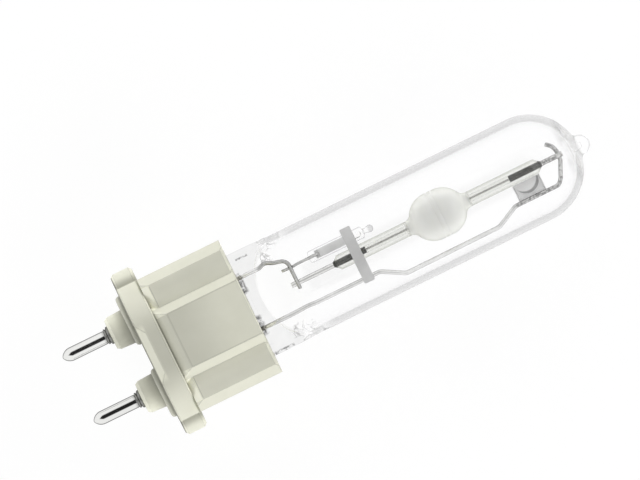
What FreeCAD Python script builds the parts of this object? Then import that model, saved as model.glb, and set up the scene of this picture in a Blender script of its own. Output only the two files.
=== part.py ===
import FreeCAD, Part
import math
import os

# Single-ended ceramic metal halide lamp with a two-pin ceramic cap.
# Millimetres. X runs along the lamp from the contact pins to the bulb's tip.
# Z points up out of the cap's broad front, and Y runs across it.
# The origin is on the lamp's axis, in the plane of the cap's two seating lands.
# The lamp lies on the back of its cap and its bulb, as it is put down on a table.

V = FreeCAD.Vector
X_AXIS = V(1, 0, 0)
Y_AXIS = V(0, 1, 0)
Z_AXIS = V(0, 0, 1)

# Tube of the outer bulb, which sets how deep the cap is
tube_diameter = 18.7
tube_wall = 1.2

# Cap, overall
cap_width = 24.8
cap_proud = 0.05
cap_depth = tube_diameter + 2 * cap_proud
land_height = 0.85
plate_thickness = 3.95
body_length = 15.35
seam_x = land_height + plate_thickness
body_end_x = seam_x + body_length
half_width = cap_width / 2
half_depth = cap_depth / 2

# Cap body, its raised panel and the two lower side panels
panel_width = 10.1
strip_width = 1.45
panel_step = 1.45
edge_width = 1.7
edge_drop = 1.7
panel_setback = 1.95
side_setback = 1.24
panel_seam_drop = 0.9
side_seam_drop = 0.62
panel_end_bevel = 0.25
side_end_bevel = 0.5

# Cap plate, with its ears, seating lands and pin bosses
plate_setback = 0.1
plate_depth = cap_depth - 2 * plate_setback
plate_arc_width = 8.9
plate_arc_radius = 11.2
plate_edge_bevel = 0.3
key_bevel_length = 1.45
key_bevel_drop = 1.1
key_bevel_outer_width = 11.4
key_bevel_inner_width = 7.4
ear_reach = 2.65
ear_radius = 3.15
ear_bevel = 0.5
land_inner_y = 2.3
land_margin = 1.1
land_depth = 11.0
land_corner_radius = 3.2
land_edge_round = 0.6
boss_root_diameter = 6.2
boss_tip_diameter = 5.9
boss_length = 3.3
boss_tip_bevel = 0.6
boss_tip_bevel_radial = 0.35

# Contact pins
pin_spacing = 12.0
pin_diameter = 2.35
pin_reach = 12.35
pin_tip_length = 1.7
pin_tip_flat = 0.1
pin_collar_diameter = 3.2
pin_collar_length = 0.35
pin_collar_cone = 0.25
pin_ring_diameter = 2.75
pin_ring_length = 0.3
pin_head_diameter = 3.6
pin_head_length = 0.7
pin_hole_clearance = 0.05
pin_lead_depth = 2.4

# Outer bulb: its domed end, exhaust tip and flat pinch seal
tip_end_x = 84.2
tip_length = 2.0
dome_centre_x = tip_end_x - tip_length - tube_diameter / 2
tip_diameter = 3.6
tip_shoulder_diameter = 6.1
tip_shoulder_rise = 0.35
tip_funnel_diameter = 4.0
tip_funnel_length = 1.1
tip_hole_diameter = 1.7
tip_hole_round = 0.35
tip_wall = 1.5
pinch_edge_inset = 2.9
pinch_width = cap_width - 2 * pinch_edge_inset
pinch_thickness = 4.6
pinch_rail_width = 1.7
pinch_recess_depth = 0.7
pinch_recess_end_x = 21.3
pinch_start_x = 8.0
pinch_end_x = 22.4
round_start_x = 31.0
cavity_start_x = 22.6
cavity_widening_length = 4.5
cavity_opening_length = 1.5
cavity_first_section = 0.12
cavity_neck_wall = 1.25
flat_squareness = 4.5
section_points = 32
neck_sections = 6
cavity_sections = 8

# Cement that holds the pinch in the cap
cement_gap = 0.8
cement_start_x = 9.4
cement_recess = 0.45

# Seal foils and the wires in the pinch
foil_width = 3.0
foil_thickness = 0.1
foil_start_x = 10.2
foil_end_x = 18.6
foil_inset = 0.7
foil_centre_y = pin_spacing / 2 - foil_inset
foil_lap = 2.0
outer_lead_diameter = 0.8
short_lead_diameter = 0.72
short_lead_y = 5.05
frame_wire_diameter = 0.75
frame_wire_y = 4.4
wire_bend_radius = 1.6
wire_run_share = 0.45

# Turns of the short lead, which crosses the starting aid's lead and the lower feedthrough
lead_kink_x = 24.4
lead_crest_x = 25.5
lead_crest_y = 5.5
lead_dip_x = 26.9
lead_dip_y = 4.85
lead_turn_y = 4.35
lead_cross_x = 29.4
lead_end_y = 1.15

# Ceramic arc tube
arc_centre_x = 55.65
ball_diameter = 8.4
ball_band = 1.7
ball_wall = 0.75
capillary_diameter = 2.65
capillary_bore = 1.15
capillary_start_x = 36.35
capillary_end_x = 74.7
capillary_end_bevel = 0.6
ball_root_radius = 0.9

# Current feedthroughs: niobium rods, sealing glass, molybdenum shanks and electrodes
niobium_diameter = 0.9
niobium_start_x = 27.95
niobium_end_x = 79.1
seal_length = 5.65
seal_bead_length = 0.45
shank_diameter = 0.34
electrode_diameter = 0.36
electrode_gap = 5.6
electrode_root = 6.1
coil_diameter = 0.9
coil_wire = 0.24
coil_turns = 5

# Starting aid: a small quartz capsule with a foil, on its own lead
capsule_diameter = 2.15
capsule_y = 2.93
capsule_start_x = 32.6
capsule_seal_end_x = 38.2
capsule_body_end_x = 42.9
capsule_tip_end_x = 44.75
capsule_tip_diameter = 1.3
capsule_hole_diameter = 1.2
capsule_hole_length = 3.2
capsule_foil_width = 1.2
capsule_foil_start_x = 33.9
capsule_foil_end_x = 40.6
capsule_foil_thickness = 0.08
capsule_lead_diameter = 0.5
capsule_lead_start_x = 27.75
capsule_lead_end_x = 34.6

# Strap across the arc tube, the starting aid and the frame wire
strap_start_x = 39.3
strap_width = 1.9
strap_low_y = -5.15
strap_high_y = 4.85
strap_thickness = 0.3
strap_corner_radius = 0.2

# Getter on the frame wire
getter_start_x = 69.0
getter_length = 5.05
getter_sheet = 0.15
getter_flange_height = 0.4
getter_capillary_gap = 0.08
getter_wire_lap = 0.3
getter_corner = 0.3
getter_flange_gap = 0.15
getter_pad_radius = 2.2
getter_pad_thickness = 0.3
getter_pad_inset = 0.05

# Turns of the frame wire: under the strap, round the ball, past the getter and over the rod
wire_rise_x = 27.0
strap_run_in = 1.2
strap_run_out = 1.3
ball_run_in = 9.2
ball_run_out = 8.4
wire_outer_y = 6.6
getter_wire_y = 4.6
getter_run_in = 1.0
getter_run_out = 2.25
wire_climb_inset = 2.05
wire_climb_y = 3.7
wire_cross_inset = 0.65
wire_cross_reach = 0.8
wire_hook_inset = 0.95
wire_hook_y = 1.85
wire_end_inset = 1.95
wire_end_y = 2.7

# Coincident walls are joined within this distance, and cutters run on past what they cut
fuse_tolerance = 0.001
cutter_margin = 1.0

tube_radius = tube_diameter / 2
bore_radius = capillary_bore / 2
niobium_radius = niobium_diameter / 2
frame_wire_radius = frame_wire_diameter / 2
short_lead_radius = short_lead_diameter / 2
strap_back_z = capillary_diameter / 2
pin_sides = (-1, 1)


def polygon_face(points):
    return Part.Face(Part.makePolygon(points + [points[0]]))


def turned(edges, centre_y=0.0, centre_z=0.0):
    """Solid of revolution about the lamp's axis, or about a line beside it."""
    centre = V(0, centre_y, centre_z)
    face = Part.Face(Part.Wire(edges))
    face.translate(centre)
    return face.revolve(centre, X_AXIS, 360)


def profile_edges(points):
    """Straight edges through (x, radius) points, left open."""
    corners = [V(x, r, 0) for x, r in points]
    return [Part.makeLine(a, b) for a, b in zip(corners, corners[1:])]


def turned_profile(points, centre_y=0.0, centre_z=0.0):
    return turned(profile_edges(points + [points[0]]), centre_y, centre_z)


def round_arc(centre_x, centre_r, radius, from_angle, to_angle):
    """Arc in a turned profile; angles in degrees, from the axis outwards."""
    points = []
    for angle in (from_angle, (from_angle + to_angle) / 2, to_angle):
        turn = math.radians(angle)
        points.append(V(centre_x + radius * math.cos(turn), centre_r + radius * math.sin(turn), 0))
    return Part.Arc(*points).toShape()


def half_chord(radius, offset):
    """Half the length of a circle's chord at that distance from its centre."""
    return math.sqrt(radius ** 2 - offset ** 2)


def angle_at(radius, height):
    """Angle from the axis of the point on a circle at that height."""
    return math.degrees(math.asin(height / radius))


def rod(start_x, end_x, radius, y=0.0, z=0.0):
    return Part.makeCylinder(radius, end_x - start_x, V(start_x, y, z), X_AXIS)


def bent_path(points):
    """Straight runs joined by tangent arcs, through hand-placed corner points."""
    corners = [V(*p) for p in points]
    edges = []
    start = corners[0]
    for before, corner, after in zip(corners, corners[1:], corners[2:]):
        run_in = corner - before
        run_out = after - corner
        half_turn = run_in.getAngle(run_out) / 2
        shorter = min(run_in.Length, run_out.Length)
        reach = min(wire_run_share * shorter, wire_bend_radius * math.tan(half_turn))
        run_in.normalize()
        run_out.normalize()
        arc_start = corner - run_in * reach
        arc_end = corner + run_out * reach
        inward = run_out - run_in
        inward.normalize()
        radius = reach / math.tan(half_turn)
        sag = radius / math.cos(half_turn) - radius
        edges.append(Part.makeLine(start, arc_start))
        edges.append(Part.Arc(arc_start, corner + inward * sag, arc_end).toShape())
        start = arc_end
    edges.append(Part.makeLine(start, corners[-1]))
    return Part.Wire(edges)


def bent_wire(points, radius):
    path = bent_path(points)
    start = V(*points[0])
    direction = V(*points[1]) - start
    section = Part.Wire(Part.makeCircle(radius, start, direction))
    return path.makePipeShell([section], True, False)


def both_faces(shape):
    """The shape at the lamp's front, with its mirror image at the back."""
    return shape.fuse(shape.mirror(V(0, 0, 0), Z_AXIS))


def extruded_across(points_xz, width):
    """Prism from an outline in the XZ plane, centred on Y."""
    face = polygon_face([V(x, -width / 2, z) for x, z in points_xz])
    return face.extrude(V(0, width, 0))


def cap_side_view(height, seam_drop, setback, end_bevel):
    """Prism of the cap as seen from its side, sloped down to the seam and bevelled at the end."""
    upper = [(seam_x, height - seam_drop), (seam_x + setback, height),
             (body_end_x - end_bevel, height), (body_end_x, height - end_bevel)]
    lower = [(x, -z) for x, z in reversed(upper)]
    return extruded_across(upper + lower, cap_width)


def make_cap_blank():
    """The cap body's outside: a low block with bevelled edges, and a raised panel."""
    side_height = half_depth - panel_step
    edge_height = side_height - edge_drop
    panel_y = panel_width / 2
    strip_y = panel_y + strip_width
    side_y = half_width - edge_width
    outline = [(side_y, side_height), (half_width, edge_height), (half_width, -edge_height),
               (side_y, -side_height), (-side_y, -side_height), (-half_width, -edge_height),
               (-half_width, edge_height), (-side_y, side_height)]
    low_block = polygon_face([V(seam_x, y, z) for y, z in outline]).extrude(V(body_length, 0, 0))
    low_block = low_block.common(cap_side_view(side_height, side_seam_drop, side_setback,
                                               side_end_bevel))
    slope = panel_step / strip_width
    foot_y = panel_y + half_depth / slope
    raised = polygon_face([V(seam_x, panel_y, half_depth), V(seam_x, foot_y, 0),
                           V(seam_x, panel_y, -half_depth), V(seam_x, -panel_y, -half_depth),
                           V(seam_x, -foot_y, 0), V(seam_x, -panel_y, half_depth)])
    raised = raised.extrude(V(body_length, 0, 0))
    raised = raised.common(cap_side_view(half_depth, panel_seam_drop, panel_setback,
                                         panel_end_bevel))
    return low_block.fuse(raised).removeSplitter()


def make_slot(start_x, end_x, gap):
    """The stadium-shaped space round the pinch, wider than it by gap all round."""
    radius = pinch_thickness / 2 + gap
    straight = pinch_width / 2 + gap - radius
    bar = Part.makeBox(end_x - start_x, 2 * straight, 2 * radius, V(start_x, -straight, -radius))
    for side in (-1, 1):
        bar = bar.fuse(rod(start_x, end_x, radius, side * straight))
    return bar.removeSplitter()


def make_base_body():
    return make_cap_blank().cut(make_slot(seam_x, body_end_x, cement_gap))


def make_plate_blank():
    """The flange: flat in the middle, with round fronts that fall away to its ends."""
    flat_y = half_width - plate_arc_width
    top = plate_depth / 2
    end_drop = plate_arc_radius - half_chord(plate_arc_radius, plate_arc_width)
    mid_y = half_width - plate_arc_width / 2
    mid_drop = plate_arc_radius - half_chord(plate_arc_radius, plate_arc_width / 2)

    def at(y, z):
        return V(land_height, y, z)

    edges = []
    for side in (1, -1):
        start, middle, end = [at(side * y, side * z) for y, z in (
            (flat_y, top), (mid_y, top - mid_drop), (half_width, top - end_drop))]
        low_start, low_middle, low_end = [at(side * y, -side * z) for y, z in (
            (half_width, top - end_drop), (mid_y, top - mid_drop), (flat_y, top))]
        edges.append(Part.makeLine(at(-side * flat_y, side * top), start))
        edges.append(Part.Arc(start, middle, end).toShape())
        edges.append(Part.makeLine(end, low_start))
        edges.append(Part.Arc(low_start, low_middle, low_end).toShape())
    blank = Part.Face(Part.Wire(edges)).extrude(V(plate_thickness, 0, 0))
    rims = [e for e in blank.Edges if e.BoundBox.XLength < plate_thickness / 2]
    return blank.makeChamfer(plate_edge_bevel, rims)


def make_key_bevel():
    """Cutter for the sloped key face on the flange's pin side, narrower towards the seam."""
    top = plate_depth / 2
    inner_x = land_height + key_bevel_length
    wedge = extruded_across([(land_height, top - key_bevel_drop), (inner_x, top),
                             (inner_x, top + cutter_margin),
                             (land_height, top + cutter_margin)], key_bevel_outer_width)
    outer_y = key_bevel_outer_width / 2
    inner_y = key_bevel_inner_width / 2
    plan = polygon_face([V(land_height, -outer_y, 0), V(inner_x, -inner_y, 0),
                         V(inner_x, inner_y, 0), V(land_height, outer_y, 0)])
    return both_faces(wedge.common(plan.extrude(V(0, 0, top + cutter_margin))))


def make_ear(side):
    centre_y = side * (half_width + ear_reach - ear_radius)
    ear = rod(land_height, seam_x, ear_radius, centre_y)
    rims = [e for e in ear.Edges if e.Closed]
    return ear.makeChamfer(ear_bevel, rims)


def make_land(side):
    """A round-cornered seating pad with a soft rim."""
    width = half_width - land_margin - land_inner_y
    pad = Part.makeBox(land_height, width, land_depth, V(0, land_inner_y, -land_depth / 2))
    uprights = [e for e in pad.Edges if e.BoundBox.XLength > land_height / 2]
    pad = pad.makeFillet(land_corner_radius, uprights)
    rim = [e for e in pad.Edges if e.BoundBox.XMax < land_height / 2]
    pad = pad.makeFillet(land_edge_round, rim)
    if side < 0:
        pad = pad.mirror(V(0, 0, 0), Y_AXIS)
    return pad


def make_boss(side):
    root = boss_root_diameter / 2
    tip = boss_tip_diameter / 2
    return turned_profile([(land_height, 0), (land_height, root), (0, root),
                           (boss_tip_bevel - boss_length, tip),
                           (-boss_length, tip - boss_tip_bevel_radial), (-boss_length, 0)],
                          side * pin_spacing / 2)


def make_base_plate():
    plate = make_plate_blank().cut(make_key_bevel())
    for side in pin_sides:
        plate = plate.fuse([make_ear(side), make_land(side), make_boss(side)])
    hole_radius = pin_diameter / 2 + pin_hole_clearance
    for side in pin_sides:
        plate = plate.cut(rod(-boss_length - cutter_margin, seam_x + cutter_margin, hole_radius,
                              side * pin_spacing / 2))
    return plate.removeSplitter()


def make_contact_pin(side):
    """One turned pin: ogive nose, ring and collar, a shank and a closing head."""
    radius = pin_diameter / 2
    nose_x = -pin_reach
    cone_x = nose_x + pin_tip_length
    sweep = (pin_tip_length ** 2 + (radius - pin_tip_flat) ** 2) / (2 * (radius - pin_tip_flat))
    nose_mid = V(nose_x + pin_tip_length / 2,
                 radius - sweep + math.sqrt(sweep ** 2 - (pin_tip_length / 2) ** 2), 0)
    nose = Part.Arc(V(nose_x, pin_tip_flat, 0), nose_mid, V(cone_x, radius, 0)).toShape()
    collar_x = -boss_length - pin_collar_length
    ring_end_x = collar_x - pin_collar_cone
    ring_x = ring_end_x - pin_ring_length
    head_x = seam_x + pin_head_length
    hole_x = head_x - pin_lead_depth
    lead_radius = outer_lead_diameter / 2
    rest = profile_edges([(cone_x, radius), (ring_x, radius), (ring_x, pin_ring_diameter / 2),
                          (ring_end_x, pin_ring_diameter / 2), (ring_end_x, radius),
                          (collar_x, pin_collar_diameter / 2),
                          (-boss_length, pin_collar_diameter / 2), (-boss_length, radius),
                          (seam_x, radius), (seam_x, pin_head_diameter / 2),
                          (head_x, pin_head_diameter / 2), (head_x, lead_radius),
                          (hole_x, lead_radius), (hole_x, 0), (nose_x, 0), (nose_x, pin_tip_flat)])
    return turned([nose] + rest, side * pin_spacing / 2)


def outer_lead_start():
    return seam_x + pin_head_length - pin_lead_depth


def make_outer_lead(side):
    """Straight lead from the pin's bore to the foil that it is welded on."""
    return rod(outer_lead_start(), foil_start_x + foil_lap, outer_lead_diameter / 2,
               side * pin_spacing / 2)


def foil_front_z():
    return -outer_lead_diameter / 2


def make_foil(side):
    return Part.makeBox(foil_end_x - foil_start_x, foil_width, foil_thickness,
                        V(foil_start_x, side * foil_centre_y - foil_width / 2,
                          foil_front_z() - foil_thickness))


def make_short_lead():
    """From its foil up through the pinch, then across to the lower feedthrough."""
    seal_z = foil_front_z() + short_lead_radius
    cross_z = niobium_radius + short_lead_radius
    points = [(foil_end_x - foil_lap, short_lead_y, seal_z), (lead_kink_x, short_lead_y, seal_z),
              (lead_crest_x, lead_crest_y, seal_z), (lead_dip_x, lead_dip_y, cross_z / 2),
              (lead_cross_x, lead_turn_y, cross_z), (lead_cross_x, -lead_end_y, cross_z)]
    return bent_wire(points, short_lead_radius)


def make_frame_wire():
    """The return wire: up beside the arc tube, round the ball, then over to the upper rod."""
    seal_z = foil_front_z() + frame_wire_radius
    strap_z = strap_back_z - frame_wire_radius
    getter_z = -niobium_radius
    cross_z = -niobium_radius - frame_wire_radius
    cross_x = niobium_end_x - wire_cross_inset
    points = [(foil_end_x - foil_lap, -frame_wire_y, seal_z),
              (wire_rise_x, -frame_wire_y, seal_z),
              (strap_start_x - strap_run_in, -frame_wire_y, strap_z),
              (strap_start_x + strap_width + strap_run_out, -frame_wire_y, strap_z),
              (arc_centre_x - ball_run_in, -wire_outer_y, strap_z),
              (arc_centre_x + ball_run_out, -wire_outer_y, getter_z),
              (getter_start_x - getter_run_in, -getter_wire_y, getter_z),
              (getter_start_x + getter_length + getter_run_out, -getter_wire_y, getter_z),
              (niobium_end_x - wire_climb_inset, -wire_climb_y, getter_z),
              (cross_x, -wire_cross_reach, cross_z), (cross_x, wire_cross_reach, cross_z),
              (niobium_end_x - wire_hook_inset, wire_hook_y, cross_z),
              (niobium_end_x - wire_end_inset, wire_end_y, cross_z)]
    return bent_wire(points, frame_wire_radius)


def superellipse_wire(x, half_y, half_z, squareness):
    """Closed section across the lamp; a squareness of 2 is an ellipse, more is squarer."""
    points = []
    for i in range(section_points):
        angle = 2 * math.pi * (i + 0.5) / section_points
        across = math.cos(angle)
        up = math.sin(angle)
        points.append(V(x, math.copysign(half_y * abs(across) ** (2 / squareness), across),
                        math.copysign(half_z * abs(up) ** (2 / squareness), up)))
    curve = Part.BSplineCurve()
    curve.interpolate(Points=points, PeriodicFlag=True)
    return Part.Wire([curve.toShape()])


def neck_section(x):
    """The neck's outside at x, from the flat pinch to the round tube, eased at both ends."""
    share = (x - pinch_end_x) / (round_start_x - pinch_end_x)
    eased = share * share * (3 - 2 * share)
    flat = (pinch_width / 2, pinch_thickness / 2, flat_squareness)
    whole = (tube_radius, tube_radius, 2)
    return [a + (b - a) * eased for a, b in zip(flat, whole)]


def evenly_from(start_x, end_x, count):
    return [start_x + (end_x - start_x) * i / (count - 1) for i in range(count)]


def rounded_start(distance, length):
    """Rises from 0 to 1 over the length, as the side of an ellipse does."""
    return math.sqrt(1 - max(0.0, 1 - distance / length) ** 2)


def cavity_section(x):
    """The space in the neck at x: one wall inside the neck, with a rounded floor."""
    half_y, half_z, squareness = neck_section(x)
    share = (x - cavity_start_x) / (round_start_x - cavity_start_x)
    wall = cavity_neck_wall + (tube_wall - cavity_neck_wall) * share
    depth = x - cavity_start_x
    return ((half_y - wall) * rounded_start(depth, cavity_widening_length),
            (half_z - wall) * rounded_start(depth, cavity_opening_length), squareness)


def make_pinch_recess():
    """The press leaves a shallow sunk panel on both faces, between two thicker side rails."""
    face_z = pinch_thickness / 2
    panel_z = face_z - pinch_recess_depth
    start_x = pinch_start_x - cutter_margin
    outline = [(start_x, panel_z), (pinch_recess_end_x - pinch_recess_depth, panel_z),
               (pinch_recess_end_x, face_z), (pinch_recess_end_x, face_z + cutter_margin),
               (start_x, face_z + cutter_margin)]
    return both_faces(extruded_across(outline, pinch_width - 2 * pinch_rail_width))


def make_bulb_outside():
    stations = evenly_from(pinch_end_x, round_start_x, neck_sections)
    wires = [superellipse_wire(x, *neck_section(x)) for x in stations]
    neck = Part.makeLoft(wires, True, False)
    pinch = Part.Face(wires[0]).extrude(V(pinch_start_x - pinch_end_x, 0, 0))
    shoulder = tip_shoulder_diameter / 2
    tip = tip_diameter / 2
    shoulder_x = dome_centre_x + half_chord(tube_radius, shoulder)
    nose_x = tip_end_x - tip
    edges = profile_edges([(round_start_x, 0), (round_start_x, tube_radius),
                           (dome_centre_x, tube_radius)])
    edges.append(round_arc(dome_centre_x, 0, tube_radius, 90, angle_at(tube_radius, shoulder)))
    edges += profile_edges([(shoulder_x, shoulder), (shoulder_x + tip_shoulder_rise, tip),
                            (nose_x, tip)])
    edges.append(round_arc(nose_x, 0, tip, 90, 0))
    edges += profile_edges([(tip_end_x, 0), (round_start_x, 0)])
    outside = turned(edges).fuse([neck, pinch], fuse_tolerance).removeSplitter()
    return outside.cut(make_pinch_recess())


def make_bulb_inside():
    """The sealed space: its floor in the pinch, the round tube and the hole in the tip."""
    radius = tube_radius - tube_wall
    reach = round_start_x - cavity_start_x
    first = math.sqrt(cavity_first_section / reach)
    stations = [cavity_start_x + reach * share ** 2
                for share in evenly_from(first, 1.0, cavity_sections)]
    wires = [superellipse_wire(x, *cavity_section(x)) for x in stations]
    neck = Part.makeLoft(wires, True, False)
    funnel = tip_funnel_diameter / 2
    hole = tip_hole_diameter / 2
    funnel_x = dome_centre_x + half_chord(radius, funnel)
    hole_end_x = tip_end_x - tip_wall
    round_x = hole_end_x - tip_hole_round
    edges = profile_edges([(round_start_x, 0), (round_start_x, radius), (dome_centre_x, radius)])
    edges.append(round_arc(dome_centre_x, 0, radius, 90, angle_at(radius, funnel)))
    edges += profile_edges([(funnel_x, funnel), (funnel_x + tip_funnel_length, hole),
                            (round_x, hole)])
    edges.append(round_arc(round_x, hole - tip_hole_round, tip_hole_round, 90, 0))
    edges += profile_edges([(hole_end_x, hole - tip_hole_round), (hole_end_x, 0),
                            (round_start_x, 0)])
    return turned(edges).fuse([neck], fuse_tolerance).removeSplitter()


def make_arc_tube():
    """Translucent ceramic vessel: a ball with a capillary at each end, in one piece."""
    capillary = capillary_diameter / 2
    ball = ball_diameter / 2
    inner_ball = ball - ball_wall
    low_x = arc_centre_x - ball_band / 2
    high_x = arc_centre_x + ball_band / 2
    root_reach = half_chord(ball, capillary)
    root_angle = angle_at(ball, capillary)
    bore_reach = half_chord(inner_ball, bore_radius)
    bore_angle = angle_at(inner_ball, bore_radius)
    end_radius = capillary - capillary_end_bevel
    edges = profile_edges([(capillary_start_x, bore_radius), (capillary_start_x, end_radius),
                           (capillary_start_x + capillary_end_bevel, capillary),
                           (low_x - root_reach, capillary)])
    edges.append(round_arc(low_x, 0, ball, 180 - root_angle, 90))
    edges += profile_edges([(low_x, ball), (high_x, ball)])
    edges.append(round_arc(high_x, 0, ball, 90, root_angle))
    edges += profile_edges([(high_x + root_reach, capillary),
                            (capillary_end_x - capillary_end_bevel, capillary),
                            (capillary_end_x, end_radius), (capillary_end_x, bore_radius),
                            (high_x + bore_reach, bore_radius)])
    edges.append(round_arc(high_x, 0, inner_ball, bore_angle, 90))
    edges += profile_edges([(high_x, inner_ball), (low_x, inner_ball)])
    edges.append(round_arc(low_x, 0, inner_ball, 90, 180 - bore_angle))
    edges += profile_edges([(low_x - bore_reach, bore_radius), (capillary_start_x, bore_radius)])
    vessel = turned(edges)
    root_distance = ball_band / 2 + root_reach
    roots = [e for e in vessel.Edges
             if e.Closed and e.BoundBox.YMax > (capillary + bore_radius) / 2
             and abs(abs(e.CenterOfMass.x - arc_centre_x) - root_distance) < ball_root_radius / 2]
    return vessel.makeFillet(ball_root_radius, roots)


def upper_or_lower(shape, upper):
    """Parts are drawn at the lower end; the upper one is its image about the ball's middle."""
    return shape.mirror(V(arc_centre_x, 0, 0), X_AXIS) if upper else shape


def capillary_end(upper):
    return 2 * arc_centre_x - capillary_end_x if upper else capillary_start_x


def make_niobium_rod(upper):
    outer_x = 2 * arc_centre_x - niobium_end_x if upper else niobium_start_x
    return upper_or_lower(rod(outer_x, capillary_end(upper) + seal_length, niobium_radius), upper)


def make_sealing_glass(upper):
    start_x = capillary_end(upper)
    end_x = start_x + seal_length
    bead_radius = capillary_diameter / 2 - capillary_end_bevel
    ring = turned_profile([(start_x - seal_bead_length, niobium_radius), (start_x, bead_radius),
                           (start_x, bore_radius), (end_x, bore_radius), (end_x, niobium_radius)])
    return upper_or_lower(ring, upper)


def make_molybdenum_rod(upper):
    start_x = capillary_end(upper) + seal_length
    return upper_or_lower(rod(start_x, arc_centre_x - electrode_root, shank_diameter / 2), upper)


def make_electrode(upper):
    """Tungsten rod with its small winding near the tip."""
    radius = electrode_diameter / 2
    crest = coil_diameter / 2
    valley = crest - coil_wire / 2
    root_x = arc_centre_x - electrode_root
    tip_x = arc_centre_x - electrode_gap / 2
    coil_end_x = tip_x - coil_wire
    coil_x = coil_end_x - coil_turns * coil_wire
    points = [(root_x, 0), (root_x, radius), (coil_x, radius), (coil_x, valley)]
    for i in range(coil_turns):
        points += [(coil_x + (i + 0.5) * coil_wire, crest), (coil_x + (i + 1) * coil_wire, valley)]
    points += [(coil_end_x, radius), (tip_x, radius), (tip_x, 0)]
    return upper_or_lower(turned_profile(points), upper)


def capsule_z():
    """The capsule's middle: its front touches the back of the strap."""
    return strap_back_z - capsule_diameter / 2


def starter_lead_z():
    """The lead touches the back of the short lead, which lies on the lower feedthrough."""
    return niobium_radius - capsule_lead_diameter / 2


def make_starter_lead():
    return rod(capsule_lead_start_x, capsule_lead_end_x, capsule_lead_diameter / 2, capsule_y,
               starter_lead_z())


def make_starter_foil():
    top_z = starter_lead_z() - capsule_lead_diameter / 2
    return Part.makeBox(capsule_foil_end_x - capsule_foil_start_x, capsule_foil_width,
                        capsule_foil_thickness,
                        V(capsule_foil_start_x, capsule_y - capsule_foil_width / 2,
                          top_z - capsule_foil_thickness))


def make_starter_capsule(lead, foil):
    """Small quartz bottle: solid round the foil, hollow at its far end, with a drawn tip."""
    radius = capsule_diameter / 2
    tip = capsule_tip_diameter / 2
    shoulder = radius - tip
    hole = capsule_hole_diameter / 2
    start_face = capsule_lead_diameter
    corner = radius - start_face
    shoulder_x = capsule_body_end_x - shoulder
    nose_x = capsule_tip_end_x - tip
    hole_nose_x = shoulder_x - hole
    edges = profile_edges([(capsule_start_x, 0), (capsule_start_x, start_face)])
    edges.append(round_arc(capsule_start_x + corner, start_face, corner, 180, 90))
    edges += profile_edges([(capsule_start_x + corner, radius), (shoulder_x, radius)])
    edges.append(round_arc(shoulder_x, tip, shoulder, 90, 0))
    edges += profile_edges([(capsule_body_end_x, tip), (nose_x, tip)])
    edges.append(round_arc(nose_x, 0, tip, 90, 0))
    edges += profile_edges([(capsule_tip_end_x, 0), (capsule_start_x, 0)])
    hole_x = shoulder_x - capsule_hole_length
    hole_edges = profile_edges([(hole_x, 0), (hole_x, hole), (hole_nose_x, hole)])
    hole_edges.append(round_arc(hole_nose_x, 0, hole, 90, 0))
    hole_edges += profile_edges([(shoulder_x, 0), (hole_x, 0)])
    glass = turned(edges, capsule_y, capsule_z())
    return glass.cut([turned(hole_edges, capsule_y, capsule_z()), lead, foil])


def make_strap():
    strap = Part.makeBox(strap_width, strap_high_y - strap_low_y, strap_thickness,
                         V(strap_start_x, strap_low_y, strap_back_z))
    corners = [e for e in strap.Edges if e.BoundBox.ZLength > strap_thickness / 2]
    return strap.makeFillet(strap_corner_radius, corners)


def getter_front_z():
    return -niobium_radius - frame_wire_radius


def getter_top_y():
    return -capillary_diameter / 2 - getter_capillary_gap


def make_getter_sheet():
    """Thin sheet welded behind the frame wire, with its two short sides folded forward."""
    front_z = getter_front_z()
    top_y = getter_top_y()
    low_y = -getter_wire_y - getter_wire_lap
    end_x = getter_start_x + getter_length
    outline = [(getter_start_x, top_y), (end_x, top_y), (end_x, low_y + getter_corner),
               (end_x - getter_corner, low_y), (getter_start_x + getter_corner, low_y),
               (getter_start_x, low_y + getter_corner)]
    sheet = polygon_face([V(x, y, front_z - getter_sheet) for x, y in outline])
    sheet = sheet.extrude(V(0, 0, getter_sheet))
    flange_low_y = -getter_wire_y + frame_wire_radius + getter_flange_gap
    for x in (getter_start_x, end_x - getter_sheet):
        flange = Part.makeBox(getter_sheet, top_y - flange_low_y, getter_sheet + getter_flange_height,
                              V(x, flange_low_y, front_z - getter_sheet))
        sheet = sheet.fuse(flange)
    return sheet.removeSplitter()


def make_getter_pad():
    """Half-round pellet of getter alloy, pressed on the sheet."""
    centre = V(getter_start_x + getter_length / 2, getter_top_y(), getter_front_z())
    pad = Part.makeCylinder(getter_pad_radius, getter_pad_thickness, centre, Z_AXIS)
    keep_height = getter_pad_radius + cutter_margin
    keep = Part.makeBox(getter_length, keep_height, getter_pad_thickness,
                        V(getter_start_x, getter_top_y() - getter_pad_inset - keep_height,
                          getter_front_z()))
    return pad.common(keep)


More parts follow.
